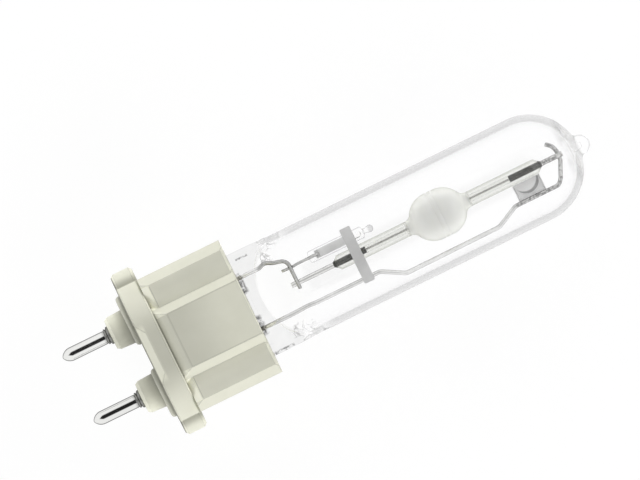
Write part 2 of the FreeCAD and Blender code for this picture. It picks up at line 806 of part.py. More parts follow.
def build_nodes():
    nodes = {"base_body": make_base_body(), "base_plate": make_base_plate()}
    for side, name in ((1, "left"), (-1, "right")):
        nodes["contact_pin_" + name] = make_contact_pin(side)
        nodes["outer_lead_" + name] = make_outer_lead(side)
        nodes["seal_foil_" + name] = make_foil(side)
    nodes["short_lead"] = make_short_lead()
    nodes["frame_wire"] = make_frame_wire()
    bulb_outside = make_bulb_outside()
    sealed_in = [nodes[name] for name in ("outer_lead_left", "outer_lead_right", "seal_foil_left",
                                          "seal_foil_right", "short_lead", "frame_wire")]
    nodes["outer_bulb"] = bulb_outside.cut([make_bulb_inside()] + sealed_in)
    cement = make_slot(cement_start_x, body_end_x - cement_recess, cement_gap)
    nodes["base_cement"] = cement.cut(bulb_outside)
    nodes["arc_tube"] = make_arc_tube()
    for upper, name in ((False, "lower"), (True, "upper")):
        nodes["niobium_rod_" + name] = make_niobium_rod(upper)
        nodes["sealing_glass_" + name] = make_sealing_glass(upper)
        nodes["molybdenum_rod_" + name] = make_molybdenum_rod(upper)
        nodes["electrode_" + name] = make_electrode(upper)
    nodes["starter_lead"] = make_starter_lead()
    nodes["starter_foil"] = make_starter_foil()
    nodes["starter_capsule"] = make_starter_capsule(nodes["starter_lead"], nodes["starter_foil"])
    nodes["strap"] = make_strap()
    nodes["getter_sheet"] = make_getter_sheet()
    nodes["getter_pad"] = make_getter_pad()
    return nodes


os.makedirs("parts", exist_ok=True)
for node_name, shape in build_nodes().items():
    shape.exportStep("parts/" + node_name + ".step")
    print(node_name, shape.isValid(), len(shape.Solids), round(shape.Volume, 3))
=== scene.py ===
import math

import bpy
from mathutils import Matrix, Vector, noise


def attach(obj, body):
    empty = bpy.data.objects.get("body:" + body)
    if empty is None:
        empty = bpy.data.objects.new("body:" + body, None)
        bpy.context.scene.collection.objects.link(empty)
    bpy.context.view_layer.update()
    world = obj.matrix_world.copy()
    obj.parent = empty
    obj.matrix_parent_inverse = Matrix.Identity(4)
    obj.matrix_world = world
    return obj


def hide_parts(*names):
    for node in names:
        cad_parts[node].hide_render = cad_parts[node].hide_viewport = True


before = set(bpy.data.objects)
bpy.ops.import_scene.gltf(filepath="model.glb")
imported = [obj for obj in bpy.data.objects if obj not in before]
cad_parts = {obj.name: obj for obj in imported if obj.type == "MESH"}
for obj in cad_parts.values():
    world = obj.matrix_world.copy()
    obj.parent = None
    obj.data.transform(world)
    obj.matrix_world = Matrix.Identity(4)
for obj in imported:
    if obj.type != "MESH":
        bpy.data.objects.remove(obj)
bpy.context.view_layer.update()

# The looks of the metal halide lamp. Lengths are millimetres, as in the part's source, and
# places in the lamp's own frame, unless a comment says metres.
MM = 0.001

# Outer bulb
TUBE_R = 9.35
WALL = 1.2
TUBE_XS = (34, 40, 46, 52, 58, 64, 69)
ROUND_X = 31.0
TIP_END_X = 84.2
TIP_LENGTH = 2.0
DOME_X = TIP_END_X - TIP_LENGTH - TUBE_R
# The drawn tip's profile: how far short of its end, and the radius there
TIP_OUTSIDE = ((2.33, 2.5), (2.24, 2.2), (2.1, 1.97), (1.85, 1.84), (1.55, 1.78))
TIP_INSIDE = ((3.05, 1.2), (2.7, 0.88), (2.2, 0.70), (1.95, 0.64))

# Flat seal, and the neck where it opens into the tube
PINCH_START_X = 8.0
PINCH_X = 22.4
PINCH_HALF_WIDTH = 9.5
PINCH_HALF_DEPTH = 2.3
PINCH_SQUARENESS = 4.5
CAVITY_X = 22.6
CAVITY_OPEN_LENGTH = 6.5
CAVITY_FLOOR_LENGTH = 4.5
NECK_WALL = 1.25
RECESS_END_X = 21.3
RECESS_HALF_WIDTH = 7.8
RECESS_DEPTH = 0.7
FOLDS_START_X = 21.0
FOLDS_MIDDLE_X = 26.5
DENT_X = 20.3
DENT_YS = (-3.4, 4.0)
# Grooves along the rails: y, and the x of both ends
GROOVES = ((8.05, 20.4, 25.2), (-9.1, 20.2, 25.8))

# Arc tube
BALL_X = 55.65
BALL_R = 4.2
BALL_WALL = 0.75
BALL_BAND = 0.85
ROOT_FILLET = 1.3
CAPILLARY_R = 1.325
BORE_R = 0.575
BORE_FACES_WITHIN = 0.62
CAPILLARY_START_X = 36.35
CAPILLARY_END_X = 74.7
# A capillary's end: how far in from it, and the radius there
CAPILLARY_RIM = ((0.0, BORE_R), (0.0, 0.74), (0.58, CAPILLARY_R - 0.03), (0.66, CAPILLARY_R))
SEAM_OFFSET = 0.45
# A seam's groove round the ball: along the lamp, and its depth
SEAM_GROOVE = ((-0.16, 0.0), (-0.06, 0.05), (0.06, 0.05), (0.16, 0.0))

# Contact pins
PIN_R = 1.175
PIN_Y = 6.0
PIN_NOSE_X = -12.35
PIN_NOSE_LENGTH = 1.7
PIN_NOSE_FLAT = 0.1
PIN_XS = (-10.4, -9.4, -8.2, -6.8, -5.4, -4.6, -4.36, -4.32)
# The ring and the collar at the pin's root, and its shank and head inside the cap
PIN_ROOT = ((-4.25, 1.13), (-4.21, 1.13), (-4.19, 1.33), (-4.15, 1.375), (-3.95, 1.375),
            (-3.91, 1.34), (-3.88, 1.22), (-3.84, 1.22), (-3.66, 1.53), (-3.60, 1.59),
            (-3.54, 1.6), (-3.34, 1.6), (-3.30, 1.57), (-3.30, PIN_R), (0, PIN_R),
            (4.8, PIN_R), (4.8, 1.8), (5.5, 1.8), (5.5, 0))

# Mount wires
WIRE_BEND = 1.6
FRAME_WIRE_R = 0.375
FRAME_CORNERS = ((16.6, -4.4, -0.025), (27.0, -4.4, -0.025), (38.1, -4.4, 0.95),
                 (42.5, -4.4, 0.95), (46.45, -6.6, 0.95), (64.05, -6.6, -0.45),
                 (68.0, -4.6, -0.45), (76.3, -4.6, -0.45), (77.05, -3.7, -0.45),
                 (78.45, -0.8, -0.825), (78.45, 0.8, -0.825), (78.15, 1.85, -0.825),
                 (77.15, 2.7, -0.825))
SHORT_LEAD_R = 0.36
SHORT_CORNERS = ((16.6, 5.05, -0.04), (24.4, 5.05, -0.04), (25.5, 5.5, -0.04),
                 (26.9, 4.85, 0.405), (29.4, 4.35, 0.81), (29.4, -1.15, 0.81))

# Starting aid
CAPSULE_Y = 2.93
CAPSULE_Z = 0.25
CAPSULE_R = 1.075
CAPSULE_START_X = 32.6
CAPSULE_SHOULDER_X = 42.475
CAPSULE_BEAD_X = 44.1
CAPSULE_BEAD_R = 0.65
HOLLOW_R = 0.6
STARTER_LEAD_R = 0.25
STARTER_LEAD_Z = 0.2
STARTER_LEAD_XS = (27.5, 31.0, 34.6)

# Studio. Places, sizes and distances here are metres, and power is watts.
FLOOR_Z = -9.4 * MM
FLOOR_HALF_SIZE = 3.0
LAMP_MIDDLE = (0.036, 0, 0)
SOFT_BOXES = (("left_box", (0.05, 0.56, 0.22), (0.5, 0.2), 1.35),
              ("right_box", (0.05, -0.56, 0.22), (0.5, 0.2), 1.35),
              ("pin_box", (-0.55, 0.0, 0.16), (0.3, 0.2), 0.9),
              ("tip_box", (0.65, 0.0, 0.20), (0.3, 0.2), 1.0))
CAMERA_PLACE = (0.0357, 0.00485, 2.4)
CAMERA_TURN = -26.07
CAMERA_LENS = 795.0


# Mesh helpers

def finish_piece(piece, material, nodes=()):
    """Puts a piece on the lamp's one body, with its finish and the CAD nodes it stands for."""
    for polygon in piece.data.polygons:
        polygon.use_smooth = True
    piece.data.materials.clear()
    piece.data.materials.append(material)
    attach(piece, "root")
    if nodes:
        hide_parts(*nodes)
    return piece


def add_material(piece, material, polygons):
    """Gives some of a piece's faces a second material."""
    piece.data.materials.append(material)
    for polygon in polygons:
        polygon.material_index = 1


def mesh_piece(name, points, faces):
    mesh = bpy.data.meshes.new(name)
    mesh.from_pydata([Vector(p) * MM for p in points], [], faces)
    mesh.validate()
    piece = bpy.data.objects.new(name, mesh)
    bpy.context.scene.collection.objects.link(piece)
    return piece


def ring_faces(first, count, rings, flip=False):
    """Quads between successive rings of the same number of points."""
    faces = []
    for r in range(rings - 1):
        for i in range(count):
            a = first + r * count + i
            b = first + r * count + (i + 1) % count
            quad = (a, b, b + count, a + count)
            faces.append(quad[::-1] if flip else quad)
    return faces


def end_fan(first, count, centre, flip):
    """Triangles from a ring to a point in its middle."""
    faces = []
    for i in range(count):
        triangle = (first + i, first + (i + 1) % count, centre)
        faces.append(triangle[::-1] if flip else triangle)
    return faces


def tube_faces(points, first, count, start, end, inwards=False):
    """Faces of the rings from point first on. Adds both end points, each with a fan of faces."""
    rings = (len(points) - first) // count
    points += [start, end]
    faces = ring_faces(first, count, rings, inwards)
    faces += end_fan(first, count, len(points) - 2, not inwards)
    faces += end_fan(first + (rings - 1) * count, count, len(points) - 1, inwards)
    return faces


def lathe_points(profile, count, y=0.0, z=0.0, phase=0.0):
    points = []
    for x, r in profile:
        for i in range(count):
            turn = 2 * math.pi * i / count + phase
            points.append((x, y + r * math.cos(turn), z + r * math.sin(turn)))
    return points


def lathe(name, profile, count, y=0.0, z=0.0):
    """Turned piece whose profile starts and ends on the axis."""
    points = lathe_points(profile[1:-1], count, y, z)
    faces = tube_faces(points, 0, count, (profile[0][0], y, z), (profile[-1][0], y, z))
    return mesh_piece(name, points, faces)


def lathe_ring(name, profile, count):
    """Turned piece with a hole, whose profile goes round and ends next to its start."""
    points = lathe_points(profile, count)
    faces = ring_faces(0, count, len(profile))
    last = (len(profile) - 1) * count
    for i in range(count):
        faces.append((last + i, last + (i + 1) % count, (i + 1) % count, i))
    return mesh_piece(name, points, faces)


def spaced(start, end, steps):
    return [start + (end - start) * i / steps for i in range(steps + 1)]


def on_circle(centre_x, centre_r, radius, degrees):
    turn = math.radians(degrees)
    return centre_x + radius * math.cos(turn), centre_r + radius * math.sin(turn)


def arc(centre_x, centre_r, radius, start, end, steps):
    """Profile points on a circle; angles in degrees from the axis outwards."""
    return [on_circle(centre_x, centre_r, radius, angle) for angle in spaced(start, end, steps)]


def soft_step(corners, rounds=3):
    """Profile points with their corners cut again and again, so that they run smoothly."""
    for _ in range(rounds):
        cut = [corners[0]]
        for a, b in zip(corners, corners[1:]):
            cut.append((a[0] * 0.75 + b[0] * 0.25, a[1] * 0.75 + b[1] * 0.25))
            cut.append((a[0] * 0.25 + b[0] * 0.75, a[1] * 0.25 + b[1] * 0.75))
        corners = cut + [corners[-1]]
    return corners


def rounded_path(corners, bend, share=0.45, steps=10):
    """Points along straight runs joined by arcs."""
    corners = [Vector(c) for c in corners]
    path = [corners[0]]
    for before, corner, after in zip(corners, corners[1:], corners[2:]):
        run_in, run_out = corner - before, after - corner
        half = run_in.angle(run_out) / 2
        reach = min(share * min(run_in.length, run_out.length), bend * math.tan(half))
        start = corner - run_in.normalized() * reach
        end = corner + run_out.normalized() * reach
        radius = reach / math.tan(half)
        inwards = (run_out.normalized() - run_in.normalized()).normalized()
        centre = corner + inwards * (radius / math.cos(half))
        a, b = start - centre, end - centre
        whole = a.angle(b)
        for t in spaced(0, 1, steps):
            swung = a * math.sin((1 - t) * whole) + b * math.sin(t * whole)
            path.append(centre + swung / math.sin(whole))
    path.append(corners[-1])
    return path


def wire(name, path, radius, count=20, nose=0.12):
    """Round wire along a path, with slightly rounded ends and no twist."""
    path = [Vector(p) for p in path]
    first, last = (path[1] - path[0]).normalized(), (path[-1] - path[-2]).normalized()
    path = [path[0], path[0] + first * nose] + path[1:-1] + [path[-1] - last * nose, path[-1]]
    sizes = [radius - nose] + [radius] * (len(path) - 2) + [radius - nose]
    side = first.orthogonal().normalized()
    points = []
    for i, (point, size) in enumerate(zip(path, sizes)):
        before = path[max(i - 1, 0)]
        after = path[min(i + 1, len(path) - 1)]
        along = (after - before).normalized()
        side = (side - along * side.dot(along)).normalized()
        up = along.cross(side)
        for k in range(count):
            turn = 2 * math.pi * k / count
            points.append(point + side * (size * math.cos(turn)) + up * (size * math.sin(turn)))
    faces = tube_faces(points, 0, count, path[0], path[-1])
    return mesh_piece(name, points, faces)


# Node helpers

def greys(stops):
    return [(position, (level, level, level)) for position, level in stops]


class Nodes:
    """Short ways to add nodes to a material or to the world."""

    def __init__(self, tree):
        self.nodes = tree.nodes
        self.links = tree.links

    def node(self, kind, **values):
        made = self.nodes.new(kind)
        for name, value in values.items():
            setattr(made, name, value)
        return made

    def feed(self, socket, source):
        """Gives a socket another node's output, or a plain value."""
        if isinstance(source, bpy.types.NodeSocket):
            self.links.new(source, socket)
        else:
            socket.default_value = source

    def maths(self, operation, a, b=0.0):
        made = self.node("ShaderNodeMath", operation=operation)
        self.feed(made.inputs[0], a)
        self.feed(made.inputs[1], b)
        return made.outputs[0]

    def ramp(self, source, stops):
        made = self.node("ShaderNodeValToRGB")
        elements = made.color_ramp.elements
        while len(elements) < len(stops):
            elements.new(0.5)
        for element, (position, colour) in zip(elements, stops):
            element.position = position
            element.color = (*colour, 1)
        self.feed(made.inputs["Fac"], source)
        return made.outputs["Color"]

    def mix_colour(self, factor, a, b, blend="MIX"):
        made = self.node("ShaderNodeMix", data_type="RGBA", blend_type=blend)
        # The mix node's colour sockets come after those for numbers and vectors.
        for index, source in ((0, factor), (6, a), (7, b)):
            self.feed(made.inputs[index], source)
        return made.outputs[2]

    def map_range(self, source, from_low, from_high, low, high, **values):
        made = self.node("ShaderNodeMapRange", **values)
        made.inputs["From Min"].default_value = from_low
        made.inputs["From Max"].default_value = from_high
        made.inputs["To Min"].default_value = low
        made.inputs["To Max"].default_value = high
        self.feed(made.inputs["Value"], source)
        return made.outputs["Result"]

    def spread(self, source, low, high, from_low=0.3, from_high=0.7):
        """A noise's usual range, stretched evenly from low to high."""
        return self.map_range(source, from_low, from_high, low, high)

    def smooth(self, source, from_low, from_high, low=0.0, high=1.0):
        """Goes smoothly from low to high."""
        return self.map_range(source, from_low, from_high, low, high,
                              interpolation_type="SMOOTHSTEP")


class Look(Nodes):
    """A node material with one Principled shader."""

    def __init__(self, name, colour, roughness=0.5, metallic=0.0, **sockets):
        self.material = bpy.data.materials.new(name)
        self.material.use_nodes = True
        super().__init__(self.material.node_tree)
        self.shader = self.nodes["Principled BSDF"]
        self.output = self.nodes["Material Output"]
        self.shader.inputs["Base Color"].default_value = (*colour, 1)
        self.shader.inputs["Roughness"].default_value = roughness
        self.shader.inputs["Metallic"].default_value = metallic
        for socket, value in sockets.items():
            self.shader.inputs[socket.replace("_", " ")].default_value = value
        self.place = self.node("ShaderNodeTexCoord").outputs["Object"]
        self.axes = self.node("ShaderNodeSeparateXYZ")
        self.feed(self.axes.inputs[0], self.place)

    def set(self, socket, source):
        self.feed(self.shader.inputs[socket], source)

    def noise(self, scale, detail=3.0, roughness=0.55, stretch=(1, 1, 1)):
        """Noise with its scale per metre."""
        mapping = self.node("ShaderNodeMapping")
        mapping.inputs["Scale"].default_value = stretch
        self.feed(mapping.inputs["Vector"], self.place)
        made = self.node("ShaderNodeTexNoise")
        made.inputs["Scale"].default_value = scale
        made.inputs["Detail"].default_value = detail
        made.inputs["Roughness"].default_value = roughness
        self.feed(made.inputs["Vector"], mapping.outputs["Vector"])
        return made.outputs["Fac"]

    def bump(self, height, strength, distance, previous=None):
        made = self.node("ShaderNodeBump")
        made.inputs["Strength"].default_value = strength
        made.inputs["Distance"].default_value = distance * MM
        self.feed(made.inputs["Height"], height)
        if previous is not None:
            self.feed(made.inputs["Normal"], previous)
        return made.outputs["Normal"]

    def facing(self, stops):
        """A colour that goes with how steeply the surface turns away."""
        layer = self.node("ShaderNodeLayerWeight")
        layer.inputs["Blend"].default_value = 0.5
        return self.ramp(layer.outputs["Facing"], stops)

    def from_middle(self, axis, middle):
        """How far a place lies from a plane across X, Y or Z."""
        away = self.maths("SUBTRACT", self.axes.outputs[axis], middle * MM)
        return self.maths("DIVIDE", self.maths("ABSOLUTE", away), MM)

    def along_lamp(self, from_x, to_x, low=0.0, high=1.0):
        """Goes smoothly from low to high between two places on the lamp."""
        return self.smooth(self.axes.outputs["X"], from_x * MM, to_x * MM, low, high)

    def band(self, axis, middle, half, soft):
        """1 within a band of the lamp, falling off softly at both sides."""
        return self.smooth(self.from_middle(axis, middle), half, half + soft, 1.0, 0.0)

    def patch(self, x, half_x, y, half_y, soft):
        """1 within a patch of the lamp's front and back, falling off softly round it."""
        return self.maths("MULTIPLY", self.band("X", x, half_x, soft),
                          self.band("Y", y, half_y, soft))

    def tint(self, colour, mask, level):
        """The colour, made lighter or darker where the mask is 1."""
        tinted = self.mix_colour(1.0, colour, (level, level, level, 1), "MULTIPLY")
        return self.mix_colour(mask, colour, tinted)

    def soft_edges(self, radius):
        """Normals that round the edges, as fired clay's are."""
        made = self.node("ShaderNodeBevel", samples=6)
        made.inputs["Radius"].default_value = radius * MM
        return made.outputs["Normal"]

    def edge_line(self, radius, dark):
        """A level that goes from 1 to dark in a thin line along the edges."""
        true_normal = self.node("ShaderNodeNewGeometry").outputs["True Normal"]
        turned = self.node("ShaderNodeVectorMath", operation="DOT_PRODUCT")
        self.feed(turned.inputs[0], self.soft_edges(radius))
        self.feed(turned.inputs[1], true_normal)
        return self.smooth(turned.outputs["Value"], 0.93, 0.999, dark, 1.0)

    def corner_shade(self, reach, low, dark):
        """Painted shade where surfaces meet."""
        made = self.node("ShaderNodeAmbientOcclusion", samples=8)
        made.inputs["Distance"].default_value = reach * MM
        return self.spread(made.outputs["AO"], dark, 1.0, low, 0.97)

    def show_instead(self, share, other):
        """Mixes another shader in, by a share that is 1 where it shows alone."""
        mix = self.node("ShaderNodeMixShader")
        self.feed(mix.inputs[0], share)
        self.feed(mix.inputs[1], self.shader.outputs[0])
        self.feed(mix.inputs[2], other.outputs[0])
        self.feed(self.output.inputs["Surface"], mix.outputs[0])

    def clear_for_lamplight(self, share=None, thin_skin=None):
        """Light reaches what is inside the glass straight through it.

        A share keeps that to part of the surface. A thin skin lets all that is seen through it
        pass straight as well.
        """
        path = self.node("ShaderNodeLightPath").outputs
        passes = self.maths("MAXIMUM", path["Is Shadow Ray"], path["Is Diffuse Ray"])
        if share is not None:
            passes = self.maths("MULTIPLY", passes, share)
        if thin_skin is not None:
            passes = self.maths("MAXIMUM", passes, thin_skin)
        self.show_instead(passes, self.node("ShaderNodeBsdfTransparent"))


# Ceramic cap

def ceramic_shade(look):
    """Painted shade and painted light on the pale ceramic: in its corners, along its edges and on
    its faces.

    The plate goes to x 5 and the body on from there. From the middle out, the body has its
    panel to y 5, a strip to y 6.6, a side panel to y 10.4 and a corner strip to y 12.5, where
    the plate's ears start.
    """
    sideways = look.from_middle("Y", 0.0)

    def times(a, b):
        return look.maths("MULTIPLY", a, b)

    def levelled(mask, level):
        """The level where the mask is 1, and 1 where it is 0."""
        return look.maths("ADD", times(mask, level - 1.0), 1.0)

    def between(start, full, fading, gone):
        """1 from full to fading, counted from the middle to either side."""
        return times(look.smooth(sideways, start, full),
                     look.smooth(sideways, fading, gone, 1.0, 0.0))

    body = look.along_lamp(4.9, 5.1)
    plate = look.maths("SUBTRACT", 1.0, body)
    # Painted light and shade: the plate darker in its middle and lighter at its ends, and its key
    # face lighter.
    plate_ends = times(plate, look.smooth(sideways, 2.0, 9.0, -0.20, 0.10))
    key_face = times(look.band("X", 1.5, 0.6, 0.5), look.band("Y", 0.0, 4.2, 1.4))
    # Painted shade at the bosses' roots and on the lands, a painted shade line along the lands, and
    # painted shade at the ears' roots.
    boss_root = 0.64
    land_line = look.band("X", 0.92, 0.04, 0.14)
    ear_roots = between(12.4, 12.6, 12.7, 14.2)
    # Painted light on the side slopes, beside the strips, on the strips and on the panel's slope;
    # painted shade lines along the side slopes and round the panel.
    side_slopes = times(between(6.4, 6.7, 10.5, 10.8), look.band("X", 5.5, 0.6, 0.15))
    side_lines = times(look.band("X", 6.2, 0.03, 0.16), between(6.5, 6.8, 10.3, 10.6))
    beside_strips = times(between(6.5, 6.7, 6.8, 9.6), body)
    strips = look.maths("MAXIMUM", between(4.95, 5.15, 6.5, 6.7),
                        look.smooth(sideways, 10.5, 10.7))
    panel_slope = times(look.band("Y", 0.0, 5.4, 0.8), look.along_lamp(5.0, 6.4, 1.0, 0.0))
    panel_foot = times(look.band("X", 6.95, 0.03, 0.14),
                       look.smooth(sideways, 4.9, 5.0, 1.0, 0.0))
    panel_sides = times(between(4.78, 4.92, 4.95, 5.10), look.along_lamp(6.8, 7.0))
    # Painted shade on the panel towards the plate, going over into painted light towards its far
    # end.
    panel = times(times(look.band("Y", 0.0, 4.9, 0.1), body),
                  look.along_lamp(6.9, 17, -0.16, 0.06))
    # Painted shade in the corners and along the edges.
    shade = look.corner_shade(0.6, 0.45, 0.72)
    for factor in (look.edge_line(0.20, 0.70),
                   look.maths("ADD", plate_ends, 1.0),
                   levelled(key_face, 1.28),
                   look.along_lamp(-2.3, -0.1, 1.06, boss_root),
                   look.along_lamp(0.9, 1.15, 1.0, 1.0 / boss_root),
                   levelled(land_line, 0.55),
                   levelled(ear_roots, 0.58),
                   levelled(side_slopes, 1.30),
                   levelled(side_lines, 0.76),
                   levelled(beside_strips, 1.17),
                   levelled(times(strips, body), 1.09),
                   levelled(times(panel_slope, body), 1.35),
                   levelled(look.maths("MAXIMUM", panel_foot, panel_sides), 0.86),
                   look.maths("ADD", panel, 1.0)):
        shade = times(shade, factor)
    return shade


def ceramic_look():
    look = Look("cap_ceramic", (0.80, 0.795, 0.67), 0.5, Specular_IOR_Level=0.3)
    clouds = look.noise(300, 4)
    cream = look.ramp(look.noise(55, 2), [(0.25, (0.775, 0.775, 0.660)),
                                          (0.75, (0.835, 0.830, 0.708))])
    mottle = look.ramp(clouds, [(0.30, (0.965, 0.965, 0.955)), (0.70, (1, 1, 1))])
    cream = look.mix_colour(1.0, cream, mottle, "MULTIPLY")
    shade = look.node("ShaderNodeCombineColor")
    amount = ceramic_shade(look)
    for channel in ("Red", "Green", "Blue"):
        look.feed(shade.inputs[channel], amount)
    look.set("Base Color", look.mix_colour(1.0, cream, shade.outputs[0], "MULTIPLY"))
    look.set("Roughness", look.spread(clouds, 0.42, 0.56))
    pores = look.bump(look.noise(2600, 3), 0.12, 0.03, look.soft_edges(0.15))
    look.set("Normal", look.bump(look.noise(420, 2), 0.10, 0.08, pores))
    return look.material


def cement_look():
    look = Look("cement", (0.80, 0.78, 0.70), 0.85)
    grain = look.noise(900, 6, 0.7)
    look.set("Base Color", look.ramp(grain, [(0.3, (0.66, 0.64, 0.56)), (0.7, (0.84, 0.82, 0.74))]))
    look.set("Normal", look.bump(grain, 0.7, 0.3))
    return look.material


# Metals

def pin_look():
    """Polished nickel, dulled by handling, with painted shade at its rim, and dark where the
    collars meet the ceramic.
    """
    look = Look("pin_nickel", (0.78, 0.78, 0.765), 0.1, 1.0, Specular_Tint=(0.25, 0.25, 0.25, 1))
    turning = look.noise(90, 4, 0.6, (60, 1, 1))
    wipes = look.noise(220, 4, 0.6, (0.3, 1, 1))
    look.set("Roughness", look.spread(wipes, 0.04, 0.13))
    nickel = look.ramp(wipes, [(0.3, (0.80, 0.80, 0.785)), (0.7, (0.88, 0.88, 0.865))])
    # Painted shade at the rim, where the pin turns away.
    rim = look.facing(greys([(0.0, 1.0), (0.46, 1.0), (0.66, 0.40), (1.0, 0.12)]))
    nickel = look.mix_colour(1.0, nickel, rim, "MULTIPLY")
    shank = look.along_lamp(-4.9, -4.0, 1.0, 0.0)
    look.set("Base Color", look.mix_colour(shank, (0.26, 0.26, 0.25, 1), nickel))
    look.set("Normal", look.bump(turning, 0.10, 0.02))
    return look.material


def metal_look(name, dark, pale, rough, stretch=(0.08, 1, 1), metallic=1.0, rim=0.4,
               outline=None, line_width=0.14, pale_to=None, streaks_from=None, shade_crescent=None):
    """Drawn or rolled metal between two tones, with painted shade at the rim where it turns away.

    An outline is the level of a painted shade line along its edges. It is pale as far as pale_to
    along the lamp, and streaked past streaks_from. A shade_crescent (x, y, radius) is painted shade
    outside that circle.
    """
    look = Look(name, pale, rough[0], metallic, Specular_Tint=(rim, rim, rim, 1))
    blotches = look.noise(260, 4)
    tone = look.ramp(blotches, [(0.32, dark), (0.68, pale)])
    # Painted shade at the rim, where the metal turns away.
    edge = look.facing(greys([(0.0, 1.0), (0.45, 1.0), (0.75, rim), (1.0, rim * 0.7)]))
    tone = look.mix_colour(1.0, tone, edge, "MULTIPLY")
    # The outline is a painted shade line along the edges.
    if outline is not None:
        inside = look.edge_line(line_width, 0.0)
        tone = look.mix_colour(inside, look.tint(tone, 1.0, outline), tone)
    if streaks_from is not None:
        streaks = look.ramp(look.noise(2800, 2, 0.5), greys([(0.40, 0.36), (0.58, 0.88)]))
        streaked = look.mix_colour(1.0, tone, streaks, "MULTIPLY")
        past = look.along_lamp(streaks_from - 1, streaks_from + 1)
        tone = look.mix_colour(past, tone, streaked)
    if pale_to is not None:
        past = look.along_lamp(pale_to - 0.6, pale_to + 0.3)
        tone = look.mix_colour(past, (0.96, 0.96, 0.955, 1), tone)
    # The crescent is painted shade outside its circle.
    if shade_crescent is not None:
        middle_x, middle_y, reach = shade_crescent
        away_x = look.maths("POWER", look.from_middle("X", middle_x), 2.0)
        away_y = look.maths("POWER", look.from_middle("Y", middle_y), 2.0)
        away = look.maths("SQRT", look.maths("ADD", away_x, away_y))
        tone = look.tint(tone, look.smooth(away, reach, reach + 0.25), 0.42)
    look.set("Base Color", tone)
    look.set("Roughness", look.spread(blotches, *rough))
    look.set("Normal", look.bump(look.noise(2200, 4, 0.6, stretch), 0.15, 0.02))
    return look.material


# Glass and translucent ceramic

def quartz_look(name, stops, bending):
    """Clear quartz with painted shade: the more steeply it is looked through, the greyer it is."""
    look = Look(name, (1, 1, 1), 0.0, IOR=bending, Transmission_Weight=1.0)
    tone = look.facing([(at, (level, level, level * 1.002)) for at, level in stops])
    look.set("Base Color", tone)
    waves = look.noise(60, 2, 0.5, (0.4, 1, 1))
    look.set("Normal", look.bump(waves, 0.05, 0.2))
    return look, tone


def bulb_look(name, stops):
    """The bulb's quartz. Its neck and tip bend light less, or they would look too dark."""
    bending, neck_bending, tip_drop = 1.42, 1.10, 0.26
    look, tone = quartz_look(name, stops, bending)
    neck = look.along_lamp(25.0, 31.0, neck_bending, bending)
    look.set("IOR", look.maths("SUBTRACT", neck, look.along_lamp(79.5, 81.8, 0.0, tip_drop)))
    shoulders = look.maths("MULTIPLY", look.band("X", 27.8, 1.6, 0.6),
                           look.smooth(look.from_middle("Y", 0.0), 8.0, 8.7))
    thin = look.maths("MAXIMUM", look.along_lamp(79.2, 81.4), shoulders)
    look.clear_for_lamplight(thin_skin=look.maths("MULTIPLY", thin, 0.72))
    return look, tone


def painted_press_shade(look, tone):
    """Painted shade on the flat seal and the tip: greyer edges, cloudy shade round the seal, and
    shade in the dents at the cap, along the rails' grooves and in the folds.
    """
    # The seal and the tip get their own painted shade towards their edges.
    thin = look.facing(greys([(0.0, 1.0), (0.6, 0.985), (0.85, 0.88), (1.0, 0.55)]))
    tone = look.mix_colour(look.along_lamp(28.0, 32.5), thin, tone)
    tone = look.mix_colour(look.along_lamp(79.8, 82.0), tone, thin)

    # The seal goes over into the clear tube along an ellipse; the seal round it gets a cloudy
    # painted shade.
    middle_x, half_x, half_y = 27.3, 4.8, 7.8
    across = look.maths("DIVIDE", look.axes.outputs["Y"], half_y * MM)
    along = look.maths("SUBTRACT", look.axes.outputs["X"], middle_x * MM)
    along = look.maths("DIVIDE", along, half_x * MM)
    reach = look.maths("ADD", look.maths("POWER", across, 2.0), look.maths("POWER", along, 2.0))
    seal = look.maths("MULTIPLY", look.smooth(reach, 0.95, 1.10),
                      look.along_lamp(26.0, 27.2, 1.0, 0.0))
    clouds = look.spread(look.noise(260, 2, 0.5), 0.5, 1.0)
    tone = look.tint(tone, look.maths("MULTIPLY", seal, clouds), 0.86)

    # Painted shade in the dents at the cap, along the rails' grooves and in the folds.
    specks = look.noise(1400, 3, 0.6)
    dent_shade = look.spread(specks, 0.0, 1.0, 0.38, 0.58)
    groove_shade = look.spread(specks, 0.0, 1.0, 0.42, 0.60)
    fold_shade = look.ramp(look.noise(520, 1.5, 0.5),
                      greys([(0.44, 0.0), (0.475, 1.0), (0.50, 1.0), (0.535, 0.0)]))
    at_cap = [(20.4, 0.35, y, 1.5, 0.6) for y in (4.0, -3.8)]
    on_rails = [(22.4, 1.0, 8.05, 0.06, 0.22), (22.2, 1.8, -9.0, 0.06, 0.22)]
    in_folds = [(x, 0.5, y, 0.4, 0.9)
                for x, y in ((25.6, 6.4), (27.6, 8.3), (25.9, -7.3), (28.0, -8.6))]
    for pattern, patches, level in ((dent_shade, at_cap, 0.12), (groove_shade, on_rails, 0.12),
                                    (fold_shade, in_folds, 0.35)):
        for place in patches:
            tone = look.tint(tone, look.maths("MULTIPLY", look.patch(*place), pattern), level)
    look.set("Base Color", tone)


def bore_look():
    """The arc tube's bore, clear and with hardly any bending."""
    look = Look("arc_ceramic_bore", (0.95, 0.95, 0.935), 0.03, IOR=1.045, Transmission_Weight=1.0)
    look.clear_for_lamplight()
    return look.material


